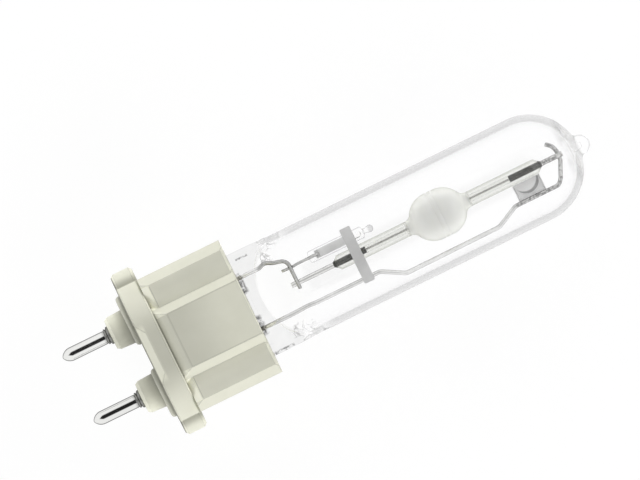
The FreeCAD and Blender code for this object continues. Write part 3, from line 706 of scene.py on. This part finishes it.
def arc_ceramic_look():
    """Sintered alumina: milky in the ball, clear enough in the capillaries to show the seal."""
    look = Look("arc_ceramic", (0.93, 0.94, 0.905), 0.3, IOR=1.045, Subsurface_Weight=0.35,
                Subsurface_Scale=1.0, Subsurface_Radius=(2.2 * MM, 2.2 * MM, 2.0 * MM))
    from_ball = look.from_middle("X", BALL_X)
    thin = look.smooth(from_ball, 5.4, 6.2)
    look.set("Transmission Weight", look.maths("MULTIPLY", thin, 0.92))
    milk = look.ramp(look.noise(160, 3), [(0.3, (0.955, 0.965, 0.895)), (0.7, (0.98, 0.985, 0.92))])
    # Painted shade at the ball's rim, where it turns away.
    crown = look.facing([(0.0, (0.99, 0.99, 0.99)), (0.10, (1, 1, 1)), (0.30, (1, 1, 1)),
                         (0.50, (0.99, 0.99, 0.99)), (0.68, (0.86, 0.86, 0.855)),
                         (0.84, (0.70, 0.70, 0.69)), (1.0, (0.56, 0.56, 0.55))])
    milk = look.mix_colour(1.0, milk, crown, "MULTIPLY")
    seams = look.maths("MAXIMUM", look.band("X", BALL_X - 0.42, 0.05, 0.14),
                       look.band("X", BALL_X + 0.45, 0.05, 0.14))
    milk = look.mix_colour(look.maths("MULTIPLY", seams, 0.85), milk, (1.0, 1.0, 0.94, 1))
    # Painted shade: the capillaries greyer towards their edges.
    edge = look.facing([(0.0, (0.92, 0.925, 0.90)), (0.22, (0.91, 0.915, 0.885)),
                        (0.45, (0.76, 0.77, 0.725)), (1.0, (0.68, 0.695, 0.64))])
    look.set("Base Color", look.mix_colour(thin, milk, edge))
    look.set("Roughness", look.smooth(from_ball, 4.0, 5.0, 0.35, 0.03))
    look.clear_for_lamplight(look.maths("MULTIPLY", thin, 0.75))
    return look.material


def dark_glass_look():
    look = Look("sealing_glass", (0.09, 0.09, 0.085), 0.4)
    grain = look.noise(700, 4)
    look.set("Base Color", look.ramp(grain, [(0.3, (0.030, 0.030, 0.026)),
                                             (0.7, (0.065, 0.065, 0.058))]))
    return look.material


# Painted shade on the quartz, from square on to edge on, at its skin and at the surface inside
SKIN_STOPS = [(0.0, 1.0), (0.28, 0.995), (0.44, 0.945), (0.50, 0.84), (0.525, 0.50), (0.62, 0.54),
              (0.80, 0.61), (1.0, 0.60)]
INSIDE_STOPS = [(0.0, 1.0), (0.55, 0.995), (1.0, 0.93)]

ceramic = ceramic_look()
cement = cement_look()
pin_metal = pin_look()
bulb_skin, bulb_tone = bulb_look("quartz", SKIN_STOPS)
painted_press_shade(bulb_skin, bulb_tone)
quartz_skin = bulb_skin.material
quartz_inside = bulb_look("quartz_inside", INSIDE_STOPS)[0].material
capsule_skin, capsule_tone = quartz_look("quartz_capsule", SKIN_STOPS, 1.12)
capsule_skin.clear_for_lamplight()
# Painted shade darkens the capsule's bead.
capsule_bead = capsule_skin.along_lamp(43.5, 44.1)
capsule_skin.set("Base Color", capsule_skin.tint(capsule_tone, capsule_bead, 0.72))
capsule_quartz = capsule_skin.material
arc_ceramic = arc_ceramic_look()
bore_ceramic = bore_look()
dark_glass = dark_glass_look()
bright_wire = metal_look("molybdenum", (0.68, 0.68, 0.67), (0.84, 0.84, 0.83), (0.03, 0.08),
                         pale_to=22.6, streaks_from=68.0)
dull_wire = metal_look("molybdenum_dull", (0.42, 0.42, 0.41), (0.62, 0.62, 0.605), (0.18, 0.30),
                       pale_to=24.2)
foil = metal_look("foil", (0.90, 0.90, 0.895), (0.98, 0.98, 0.975), (0.45, 0.6), (0.3, 4, 1),
                  metallic=0.04)
niobium = metal_look("niobium", (0.74, 0.74, 0.725), (0.86, 0.86, 0.845), (0.03, 0.08),
                     streaks_from=75.0)
tungsten = metal_look("tungsten", (0.30, 0.30, 0.29), (0.42, 0.42, 0.41), (0.3, 0.5))
# The strap and the getter sheet get painted shade lines along their edges, and the getter pad
# painted shade outside a circle on it.
strap_metal = metal_look("strap_steel", (0.67, 0.67, 0.665), (0.76, 0.76, 0.755), (0.45, 0.6),
                         (1, 0.08, 1), metallic=0.15, rim=0.5, outline=0.72)
getter_metal = metal_look("getter_steel", (0.97, 0.97, 0.965), (1.0, 1.0, 0.995), (0.5, 0.6),
                          (1, 0.08, 1), metallic=0.8, rim=0.8, outline=0.40, line_width=0.10)
getter_alloy = metal_look("getter_alloy", (0.97, 0.97, 0.965), (0.99, 0.99, 0.985), (0.55, 0.65),
                          (1, 1, 1), metallic=0.6, rim=0.8, shade_crescent=(71.25, -0.95, 2.08))


# Outer bulb

def superellipse(half_y, half_z, squareness, count):
    ring = []
    for i in range(count):
        turn = 2 * math.pi * (i + 0.5) / count
        c, s = math.cos(turn), math.sin(turn)
        ring.append((math.copysign(half_y * abs(c) ** (2 / squareness), c),
                     math.copysign(half_z * abs(s) ** (2 / squareness), s)))
    return ring


def clamp(value):
    return min(1.0, max(0.0, value))


def neck_section(x):
    """Half width, half depth and squareness of the neck's outside at x."""
    share = clamp((x - PINCH_X) / (ROUND_X - PINCH_X))
    eased = share * share * (3 - 2 * share)
    flat = (PINCH_HALF_WIDTH, PINCH_HALF_DEPTH, PINCH_SQUARENESS)
    return [a + (b - a) * eased for a, b in zip(flat, (TUBE_R, TUBE_R, 2.0))]


def rounded_start(distance, length):
    """Rises from 0 to 1 over a length, as a quarter circle does."""
    return math.sqrt(1 - max(0.0, 1 - distance / length) ** 2)


def cavity_section(x):
    """The space inside the neck: one wall inside it, with a rounded floor."""
    half_y, half_z, squareness = neck_section(x)
    depth = x - CAVITY_X
    wall = NECK_WALL + (WALL - NECK_WALL) * depth / (ROUND_X - CAVITY_X)
    opened = min(1.0, depth / CAVITY_OPEN_LENGTH)
    closed = (neck_section(CAVITY_X)[1] - NECK_WALL) * (1 - opened * opened * (3 - 2 * opened))
    half_y = (half_y - wall) * rounded_start(depth, CAVITY_FLOOR_LENGTH)
    return half_y, half_z - wall - closed, squareness


def wrinkle(x, y, z, depth):
    """Folds that the press leaves at the sides, where the flat seal opens into the tube."""
    near = math.exp(-((x - FOLDS_MIDDLE_X) / 2.2) ** 2)
    side = clamp((abs(y) - 5.2) / 2.0)
    fold = noise.noise(Vector((x * 0.7, y * 0.9, z * 0.5 + 7.0)))
    fine = noise.noise(Vector((x * 1.7 + 3.0, y * 1.9, z * 1.3)))
    return depth * near * side * (0.8 * fold + 0.35 * fine)


def recess(x, y, z):
    """The seal is thinner between its two rails, as far as the cap's edge."""
    if abs(y) >= RECESS_HALF_WIDTH or abs(z) <= 1.0:
        return 0.0
    return (RECESS_DEPTH * clamp((RECESS_END_X - x) / 0.6)
            * min(1.0, (RECESS_HALF_WIDTH - abs(y)) / 0.4))


def press_mark(x, y, z):
    """Shallow dents beside the wires, and grooves along the rails, pressed in both faces."""
    dent = 0.0
    for at_y in DENT_YS:
        away = math.hypot((x - DENT_X) / 1.0, (y - at_y) / 1.55)
        dent += 0.20 * math.exp(-((away - 1.0) / 0.22) ** 2)
    for at_y, low, high in GROOVES:
        run = clamp((x - low) / 0.8) * clamp((high - x) / 1.6)
        dent += 0.14 * run * math.exp(-((y - at_y) / 0.16) ** 2)
    return dent if abs(z) > 0.8 else 0.0


def bulb_profile(radius, dome_end, dome_steps, dome_angles, tip):
    """The tube's straight run, its dome, and the soft step into the drawn tip."""
    profile = [(x, radius) for x in TUBE_XS]
    profile += arc(DOME_X, 0, radius, 90, dome_end, dome_steps)
    corners = [on_circle(DOME_X, 0, radius, angle) for angle in dome_angles]
    corners += [(TIP_END_X - back, r) for back, r in tip]
    return profile + soft_step(corners)


def bulb_outside(count):
    """The outside's rings, from the pinch's end in the cap to the tip, and its end points."""
    points = []
    stations = spaced(PINCH_START_X, PINCH_X, 72)[:-1] + spaced(PINCH_X, ROUND_X, 60)
    for x in stations:
        for y, z in superellipse(*neck_section(x), count):
            inward = recess(x, y, z) + press_mark(x, y, z)
            shape = 1.0
            if x > FOLDS_START_X:
                shape += min(0.0, wrinkle(x, y, z, 0.045))
            points.append((x, y * shape, math.copysign(max(abs(z) * shape - inward, 0.0), z)))
    profile = bulb_profile(TUBE_R, 20, 46, (19.5, 17.5), TIP_OUTSIDE)
    profile += arc(TIP_END_X - 1.8, 0, 1.8, 78, 4, 16)
    points += lathe_points(profile, count, phase=math.pi / count)
    return points, (PINCH_START_X, 0, 0), (TIP_END_X, 0, 0)


def bulb_inside(count):
    """The rings of the space inside, closer together at its floor, and its end points."""
    points = []
    stations = [CAVITY_X + (ROUND_X - CAVITY_X) * (i / 60) ** 2 for i in range(4, 61)]
    for x in stations:
        for y, z in superellipse(*cavity_section(x), count):
            shape = 1 + wrinkle(x + 1.0, y, z + 5.0, 0.03)
            points.append((x, y * shape, z * shape))
    profile = bulb_profile(TUBE_R - WALL, 18, 40, (17, 14, 11.5), TIP_INSIDE)
    profile += arc(TIP_END_X - 1.95, 0.2, 0.42, 85, 5, 6)
    points += lathe_points(profile, count, phase=math.pi / count)
    return points, (stations[0] - 0.02, 0, 0), (profile[-1][0] + 0.002, 0, 0)


def make_bulb():
    """The bulb as one skin, and how many of its faces are outside."""
    count = 224
    points, start, end = bulb_outside(count)
    faces = tube_faces(points, 0, count, start, end)
    outside_faces = len(faces)
    inside_points, start, end = bulb_inside(count)
    first = len(points)
    points += inside_points
    faces += tube_faces(points, first, count, start, end, inwards=True)
    return mesh_piece("outer_bulb_glass", points, faces), outside_faces


bulb, outside_faces = make_bulb()
finish_piece(bulb, quartz_skin, ["outer_bulb"])
add_material(bulb, quartz_inside, bulb.data.polygons[outside_faces:])


# Arc tube

def ball_side(centre_x, direction):
    """From the capillary over a soft root to the ball's crown."""
    turn_in = math.asin((CAPILLARY_R + ROOT_FILLET) / (BALL_R + ROOT_FILLET))
    left = math.pi / 2 - turn_in
    fillet_x = centre_x + direction * (BALL_R + ROOT_FILLET) * math.cos(turn_in)
    points = []
    for i in range(9):
        turn = left * i / 8
        points.append((fillet_x - direction * ROOT_FILLET * math.sin(turn),
                       CAPILLARY_R + ROOT_FILLET - ROOT_FILLET * math.cos(turn)))
    for i in range(1, 33):
        turn = turn_in + left * i / 32
        points.append((centre_x + direction * BALL_R * math.cos(turn), BALL_R * math.sin(turn)))
    return points


def make_arc_tube():
    """The vessel's profile, outside from the pins' end to the tip's, and back inside it."""
    low, high = BALL_X - BALL_BAND, BALL_X + BALL_BAND
    profile = [(CAPILLARY_START_X + x, r) for x, r in CAPILLARY_RIM]
    profile += [(x, CAPILLARY_R) for x in (40, 44, 48)]
    profile += ball_side(low, -1)
    for seam_x in (BALL_X - SEAM_OFFSET, BALL_X + SEAM_OFFSET):
        profile += [(seam_x + x, BALL_R - depth) for x, depth in SEAM_GROOVE]
    profile += ball_side(high, 1)[::-1]
    profile += [(x, CAPILLARY_R) for x in (64, 68, 72)]
    profile += [(CAPILLARY_END_X - x, r) for x, r in CAPILLARY_RIM[::-1]]
    profile += [(x, BORE_R) for x in (70, 65)]
    profile += arc(high, 0, BALL_R - BALL_WALL, 10, 90, 16)
    profile += arc(low, 0, BALL_R - BALL_WALL, 90, 170, 16)
    profile += [(x, BORE_R) for x in (46, 41)]
    return lathe_ring("arc_tube_vessel", profile, 80)


vessel = finish_piece(make_arc_tube(), arc_ceramic, ["arc_tube"])
add_material(vessel, bore_ceramic, [
    polygon for polygon in vessel.data.polygons
    if math.hypot(polygon.center.y, polygon.center.z) < BORE_FACES_WITHIN * MM])


# Contact pins

def make_pin(side):
    """A turned pin: ogive nose, straight part, and a ring and a collar at the root."""
    rise = PIN_R - PIN_NOSE_FLAT
    sweep = (PIN_NOSE_LENGTH ** 2 + rise ** 2) / (2 * rise)
    profile = [(PIN_NOSE_X, 0), (PIN_NOSE_X, PIN_NOSE_FLAT * 0.6),
               (PIN_NOSE_X + 0.02, PIN_NOSE_FLAT)]
    for x in spaced(0, PIN_NOSE_LENGTH, 16)[1:]:
        r = PIN_R - sweep + math.sqrt(sweep ** 2 - (PIN_NOSE_LENGTH - x) ** 2)
        profile.append((PIN_NOSE_X + x, r))
    profile += [(x, PIN_R) for x in PIN_XS]
    profile += PIN_ROOT
    return lathe("pin_turned_" + ("left" if side > 0 else "right"), profile, 72, PIN_Y * side)


for side, name in ((1, "left"), (-1, "right")):
    finish_piece(make_pin(side), pin_metal, ["contact_pin_" + name])


# Mount wires

finish_piece(wire("frame_wire_drawn", rounded_path(FRAME_CORNERS, WIRE_BEND), FRAME_WIRE_R),
             bright_wire, ["frame_wire"])
finish_piece(wire("short_lead_drawn", rounded_path(SHORT_CORNERS, WIRE_BEND), SHORT_LEAD_R),
             dull_wire, ["short_lead"])
lead_points = [(x, CAPSULE_Y, STARTER_LEAD_Z) for x in STARTER_LEAD_XS]
finish_piece(wire("starter_lead_drawn", lead_points, STARTER_LEAD_R, nose=0.06),
             dull_wire, ["starter_lead"])


# Starting aid

def make_capsule():
    """Small quartz bottle with a drawn bead: an outside skin and the hollow at its far end."""
    outside = [(CAPSULE_START_X, 0), (CAPSULE_START_X, 0.5)]
    outside += arc(CAPSULE_START_X + 0.5, 0.55, CAPSULE_R - 0.55, 175, 92, 8)
    outside += [(x, CAPSULE_R) for x in (33.4, 35, 37, 39, 41, 42.2)]
    outside += arc(CAPSULE_SHOULDER_X, 0.65, CAPSULE_R - 0.65, 85, 40, 6)
    outside += soft_step([(42.82, 0.80), (42.92, 0.60), (43.1, 0.42), (43.35, 0.42),
                          (43.5, 0.52)], 2)
    outside += arc(CAPSULE_BEAD_X, 0, CAPSULE_BEAD_R, 118, 4, 14)
    outside += [(CAPSULE_BEAD_X + CAPSULE_BEAD_R, 0)]
    hollow = [(39.3, 0), (39.32, 0.4)] + arc(39.55, 0.35, 0.25, 150, 95, 4)
    hollow += [(x, HOLLOW_R) for x in (39.8, 40.8, 41.7)]
    hollow += arc(CAPSULE_SHOULDER_X - HOLLOW_R, 0, HOLLOW_R, 85, 4, 9)
    hollow += [(CAPSULE_SHOULDER_X, 0)]
    skin = lathe("starter_capsule_glass", outside, 56, CAPSULE_Y, CAPSULE_Z)
    inner = lathe("starter_capsule_hollow", hollow, 40, CAPSULE_Y, CAPSULE_Z)
    inner.data.flip_normals()
    return skin, inner


capsule, hollow = make_capsule()
finish_piece(capsule, capsule_quartz, ["starter_capsule"])
finish_piece(hollow, quartz_inside)


# Finishes for the CAD nodes that keep their shape

def dress(node, material):
    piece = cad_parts[node]
    piece.data.materials.clear()
    piece.data.materials.append(material)
    for polygon in piece.data.polygons:
        polygon.material_index = 0


for material, nodes in (
        (ceramic, ("base_body", "base_plate")),
        (cement, ("base_cement",)),
        (dull_wire, ("outer_lead_left", "outer_lead_right",
                     "molybdenum_rod_lower", "molybdenum_rod_upper")),
        (foil, ("seal_foil_left", "seal_foil_right", "starter_foil")),
        (niobium, ("niobium_rod_lower", "niobium_rod_upper")),
        (dark_glass, ("sealing_glass_lower", "sealing_glass_upper")),
        (tungsten, ("electrode_lower", "electrode_upper")),
        (strap_metal, ("strap",)),
        (getter_metal, ("getter_sheet",)),
        (getter_alloy, ("getter_pad",))):
    for node in nodes:
        dress(node, material)


# Floor, world, lights and camera

def make_floor():
    """White paper that keeps the lamp's shadow, and that camera, metal and glass see glowing."""
    mesh = bpy.data.meshes.new("floor")
    corners = [(x * FLOOR_HALF_SIZE, y * FLOOR_HALF_SIZE, FLOOR_Z)
               for x, y in ((-1, -1), (1, -1), (1, 1), (-1, 1))]
    mesh.from_pydata(corners, [], [(0, 1, 2, 3)])
    floor = bpy.data.objects.new("floor", mesh)
    bpy.context.scene.collection.objects.link(floor)
    look = Look("floor_paper", (0.82, 0.82, 0.82), 0.9, Specular_IOR_Level=0.0)
    look.set("Base Color", look.ramp(look.noise(900, 3), greys([(0.3, 0.81), (0.7, 0.83)])))
    path = look.node("ShaderNodeLightPath").outputs
    seen = look.maths("MAXIMUM", path["Is Camera Ray"], path["Is Glossy Ray"])
    seen = look.maths("MAXIMUM", seen, path["Is Transmission Ray"])
    glow = look.node("ShaderNodeEmission")
    glow.inputs["Color"].default_value = (1, 1, 1, 1)
    glow.inputs["Strength"].default_value = 1.07
    look.show_instead(look.maths("MULTIPLY", seen, 0.85), glow)
    mesh.materials.append(look.material)


def make_world():
    """White round the horizon and dim overhead.

    Polished metal sees white with a small dark place overhead, narrower towards the pins, and
    glass sees all of it over half way to white.
    """
    world = bpy.data.worlds.new("studio")
    bpy.context.scene.world = world
    world.use_nodes = True
    sky = Nodes(world.node_tree)
    axes = sky.node("ShaderNodeSeparateXYZ")
    sky.feed(axes.inputs[0], sky.node("ShaderNodeTexCoord").outputs["Generated"])
    x, y, z = axes.outputs
    ceiling = sky.ramp(z, greys([(0.0, 1.0), (0.30, 1.0), (0.52, 0.62), (0.72, 0.22),
                                 (0.86, 0.05), (1.0, 0.02)]))
    taper = sky.maths("MAXIMUM", sky.maths("MULTIPLY", x, -0.8), 0.0)
    sides = sky.smooth(sky.maths("ADD", sky.maths("ABSOLUTE", y), taper), 0.42, 0.66)
    tip_side = sky.smooth(x, 0.05, 0.14)
    pin_side = sky.maths("SUBTRACT", 1.0, sky.smooth(x, -0.85, -0.30))
    below = sky.maths("LESS_THAN", z, 0.0)
    bright = sky.maths("MAXIMUM", sky.maths("MAXIMUM", sides, tip_side),
                       sky.maths("MAXIMUM", pin_side, below))
    dark_place = sky.ramp(bright, greys([(0.0, 0.02), (1.0, 1.0)]))
    path = sky.node("ShaderNodeLightPath").outputs
    seen = sky.mix_colour(path["Is Glossy Ray"], ceiling, dark_place)
    through_glass = sky.maths("MULTIPLY", path["Is Transmission Ray"], 0.55)
    background = sky.nodes["Background"]
    background.inputs["Strength"].default_value = 1.0
    sky.feed(background.inputs["Color"], sky.mix_colour(through_glass, seen, (1, 1, 1, 1)))


def soft_box(name, place, size, power):
    """A lamp for matt surfaces, which metal and glass don't show."""
    light = bpy.data.lights.new(name, "AREA")
    light.shape = "RECTANGLE"
    light.size, light.size_y = size
    light.energy = power
    lamp = bpy.data.objects.new(name, light)
    lamp.location = place
    aim = Vector(LAMP_MIDDLE) - Vector(place)
    lamp.rotation_euler = aim.to_track_quat("-Z", "Y").to_euler()
    lamp.visible_glossy = False
    lamp.visible_transmission = False
    bpy.context.scene.collection.objects.link(lamp)


def make_camera():
    """A long lens straight above, as the photo shows the lamp square on and turned."""
    camera = bpy.data.cameras.new("camera")
    camera.sensor_width = 36.0
    camera.lens = CAMERA_LENS
    camera.clip_start, camera.clip_end = 0.01, 50.0
    eye = bpy.data.objects.new("camera", camera)
    eye.location = CAMERA_PLACE
    eye.rotation_euler = (0, 0, math.radians(CAMERA_TURN))
    bpy.context.scene.collection.objects.link(eye)
    bpy.context.scene.camera = eye


make_floor()
make_world()
for box in SOFT_BOXES:
    soft_box(*box)
make_camera()
bpy.context.scene.view_settings.view_transform = "Standard"
